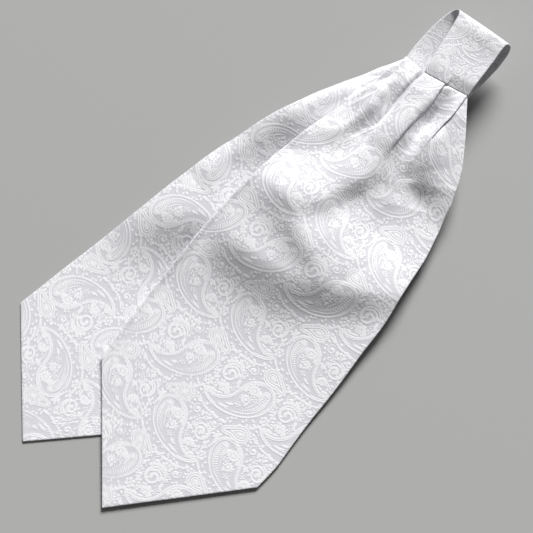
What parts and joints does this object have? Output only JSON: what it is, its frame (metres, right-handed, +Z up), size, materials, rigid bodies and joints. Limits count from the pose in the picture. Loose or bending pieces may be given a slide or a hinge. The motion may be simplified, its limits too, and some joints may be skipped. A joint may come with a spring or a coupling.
{
  "type": "silk cravat",
  "caption": "Folded self-tie silk cravat with paisley jacquard: pleated pointed blades and a looped neckband, lying flat.",
  "frame": {"origin": "on the surface that the cravat lies on, under the middle of its outline", "axes": "+Y along the upper blade from its point to the neckband, +X across the blades towards the upper blade's free side, +Z up from the surface"},
  "size_m": [0.1948, 0.4024, 0.0249],
  "materials": {
    "blade_silk": "white silk jacquard with a glossier woven paisley figure",
    "band_silk": "white silk jacquard, folded band"
  },
  "bodies": {
    "root": {"upper_blade": "blade_silk", "lower_blade": "blade_silk", "neckband": "band_silk"}
  },
  "joints": []
}
